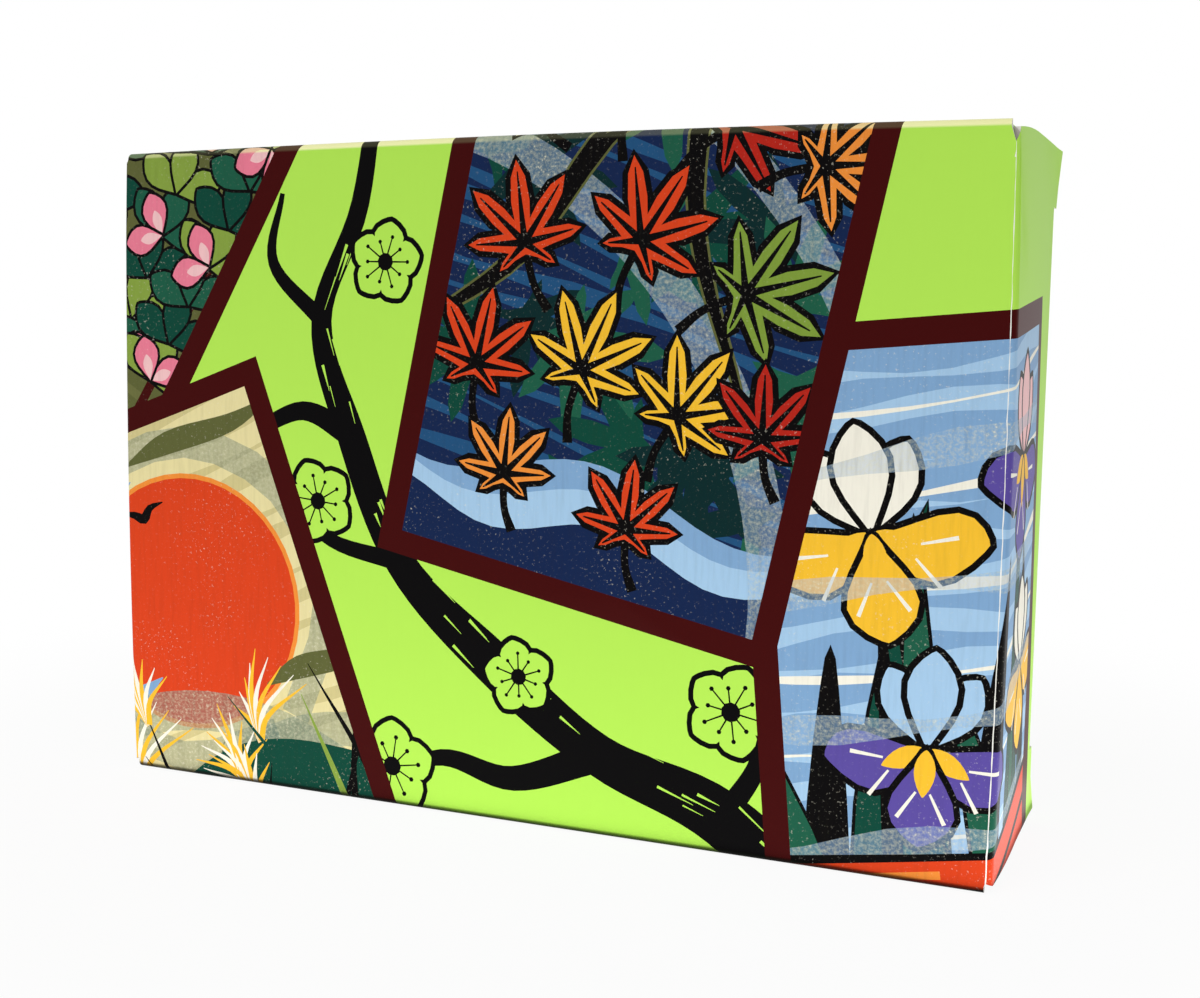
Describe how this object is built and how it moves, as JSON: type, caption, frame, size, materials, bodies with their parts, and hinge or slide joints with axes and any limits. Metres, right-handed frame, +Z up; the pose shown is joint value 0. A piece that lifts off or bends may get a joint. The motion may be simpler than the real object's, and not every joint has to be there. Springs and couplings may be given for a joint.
{
  "type": "boxed flower card deck",
  "caption": "Printed tuck-end carton with hinged lids, tuck and dust flaps, holding a two-bay tray of small thick flower cards, a spare card and a folded leaflet.",
  "frame": {"origin": "centre of the closed carton's underside, on the surface that it stands on", "axes": "+Z up, +X along the carton towards its right end lid, the printed front panel faces -Y"},
  "size_m": [0.0804, 0.0236, 0.0582],
  "materials": {
    "printed_board": "coated, printed in bright green outside and pale grey inside",
    "tray_plastic": "satin",
    "leaflet_paper": "matt",
    "card_stock": "matt, wrapped in dark red-brown paper"
  },
  "bodies": {
    "carton": {"carton_sleeve": "printed_board"},
    "right_lid": {"right_lid": "printed_board"},
    "right_tuck_flap": {"right_tuck_flap": "printed_board"},
    "right_upper_dust_flap": {"right_upper_dust_flap": "printed_board"},
    "right_lower_dust_flap": {"right_lower_dust_flap": "printed_board"},
    "left_lid": {"left_lid": "printed_board"},
    "left_tuck_flap": {"left_tuck_flap": "printed_board"},
    "left_upper_dust_flap": {"left_upper_dust_flap": "printed_board"},
    "left_lower_dust_flap": {"left_lower_dust_flap": "printed_board"},
    "deck": {"card_tray": "tray_plastic", "rules_leaflet": "leaflet_paper", "card_spare": "card_stock", "card_pine_crane": "card_stock", "card_pine_ribbon": "card_stock", "card_pine_plain_a": "card_stock", "card_pine_plain_b": "card_stock", "card_plum_warbler": "card_stock", "card_plum_ribbon": "card_stock", "card_plum_plain_a": "card_stock", "card_plum_plain_b": "card_stock", "card_cherry_curtain": "card_stock", "card_cherry_ribbon": "card_stock", "card_cherry_plain_a": "card_stock", "card_cherry_plain_b": "card_stock", "card_wisteria_cuckoo": "card_stock", "card_wisteria_ribbon": "card_stock", "card_wisteria_plain_a": "card_stock", "card_wisteria_plain_b": "card_stock", "card_iris_bridge": "card_stock", "card_iris_ribbon": "card_stock", "card_iris_plain_a": "card_stock", "card_iris_plain_b": "card_stock", "card_peony_butterfly": "card_stock", "card_peony_ribbon": "card_stock", "card_peony_plain_a": "card_stock", "card_peony_plain_b": "card_stock", "card_clover_boar": "card_stock", "card_clover_ribbon": "card_stock", "card_clover_plain_a": "card_stock", "card_clover_plain_b": "card_stock", "card_pampas_moon": "card_stock", "card_pampas_geese": "card_stock", "card_pampas_plain_a": "card_stock", "card_pampas_plain_b": "card_stock", "card_chrysanthemum_cup": "card_stock", "card_chrysanthemum_ribbon": "card_stock", "card_chrysanthemum_plain_a": "card_stock", "card_chrysanthemum_plain_b": "card_stock", "card_maple_deer": "card_stock", "card_maple_ribbon": "card_stock", "card_maple_plain_a": "card_stock", "card_maple_plain_b": "card_stock", "card_willow_rain": "card_stock", "card_willow_swallow": "card_stock", "card_willow_ribbon": "card_stock", "card_willow_storm": "card_stock", "card_paulownia_phoenix": "card_stock", "card_paulownia_plain_a": "card_stock", "card_paulownia_plain_b": "card_stock", "card_paulownia_plain_c": "card_stock"}
  },
  "joints": [
    {"name": "right_lid_crease", "type": "hinge", "parent": "carton", "child": "right_lid", "pos_m": [0.04002, -0.0116, 0.02908], "axis": [0, 0, -1], "range_deg": [0, 105]},
    {"name": "right_tuck_crease", "type": "hinge", "parent": "right_lid", "child": "right_tuck_flap", "pos_m": [0.04002, 0.01065, 0.02908], "axis": [0, 0, -1], "range_deg": [-47.25, 0]},
    {"name": "right_upper_dust_crease", "type": "hinge", "parent": "carton", "child": "right_upper_dust_flap", "pos_m": [0.03932, 0, 0.05792], "axis": [0, -1, 0], "range_deg": [0, 52.5]},
    {"name": "right_lower_dust_crease", "type": "hinge", "parent": "carton", "child": "right_lower_dust_flap", "pos_m": [0.03932, 0, 0.00022], "axis": [0, 1, 0], "range_deg": [0, 52.5]},
    {"name": "left_lid_crease", "type": "hinge", "parent": "carton", "child": "left_lid", "pos_m": [-0.04002, -0.0116, 0.02908], "axis": [0, 0, 1], "range_deg": [0, 105]},
    {"name": "left_tuck_crease", "type": "hinge", "parent": "left_lid", "child": "left_tuck_flap", "pos_m": [-0.04002, 0.01065, 0.02908], "axis": [0, 0, 1], "range_deg": [-47.25, 0]},
    {"name": "left_upper_dust_crease", "type": "hinge", "parent": "carton", "child": "left_upper_dust_flap", "pos_m": [-0.03932, 0, 0.05792], "axis": [0, 1, 0], "range_deg": [0, 52.5]},
    {"name": "left_lower_dust_crease", "type": "hinge", "parent": "carton", "child": "left_lower_dust_flap", "pos_m": [-0.03932, 0, 0.00022], "axis": [0, -1, 0], "range_deg": [0, 52.5]},
    {"name": "deck_slide", "type": "slide", "parent": "carton", "child": "deck", "axis": [1, 0, 0], "range_m": [-0.0005, 0.0005]}
  ],
  "couplings": [
    {"joint": "right_tuck_crease", "follows": "right_lid_crease", "ratio": -0.45},
    {"joint": "right_upper_dust_crease", "follows": "right_lid_crease", "ratio": 0.5},
    {"joint": "right_lower_dust_crease", "follows": "right_lid_crease", "ratio": 0.5},
    {"joint": "left_tuck_crease", "follows": "left_lid_crease", "ratio": -0.45},
    {"joint": "left_upper_dust_crease", "follows": "left_lid_crease", "ratio": 0.5},
    {"joint": "left_lower_dust_crease", "follows": "left_lid_crease", "ratio": 0.5}
  ]
}
